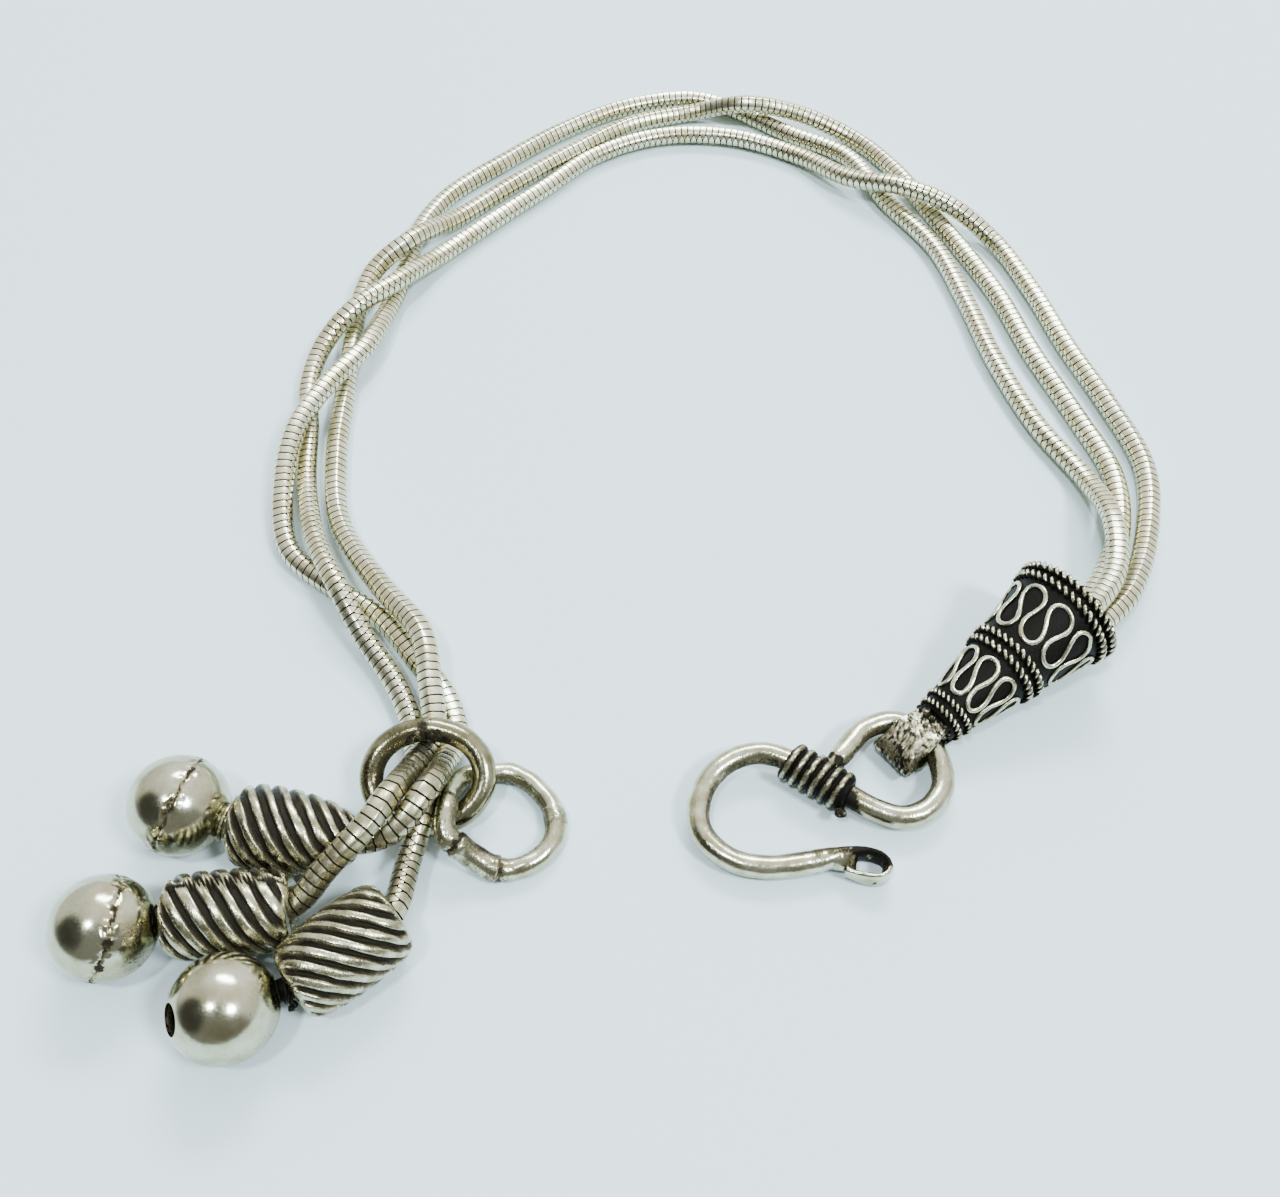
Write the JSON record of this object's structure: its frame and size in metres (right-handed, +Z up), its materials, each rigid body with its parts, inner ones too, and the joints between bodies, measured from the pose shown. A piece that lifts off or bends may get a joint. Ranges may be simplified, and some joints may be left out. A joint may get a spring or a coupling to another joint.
{
  "type": "chain bracelet",
  "caption": "Open bracelet of twisted snake chains, with an oxidised cone cap and S hook at one end and a gathering ring, link ring, fluted beads and ball tails at the other.",
  "frame": {"origin": "middle of the bracelet's outline, on the surface that it lies on", "axes": "+Z up from the surface, +Y from the open side towards the far side of the C, +X to the right seen from the open side, where the cone is"},
  "size_m": [0.0739, 0.0941, 0.0079],
  "materials": {
    "chain_silver": "satin silver links with dark gaps",
    "polished_silver": "polished silver, lightly tarnished",
    "oxidised_silver": "blackened silver with rubbed bright high places"
  },
  "bodies": {
    "root": {"strand_a": "chain_silver", "strand_b": "chain_silver", "strand_c": "chain_silver", "cone_cap": "oxidised_silver", "s_hook": "polished_silver", "wire_wrap": "oxidised_silver", "gathering_ring": "polished_silver", "link_ring": "polished_silver", "fluted_bead_1": "oxidised_silver", "ball_bead_1": "polished_silver", "fluted_bead_2": "oxidised_silver", "ball_bead_2": "polished_silver", "fluted_bead_3": "oxidised_silver", "ball_bead_3": "polished_silver"}
  },
  "joints": []
}
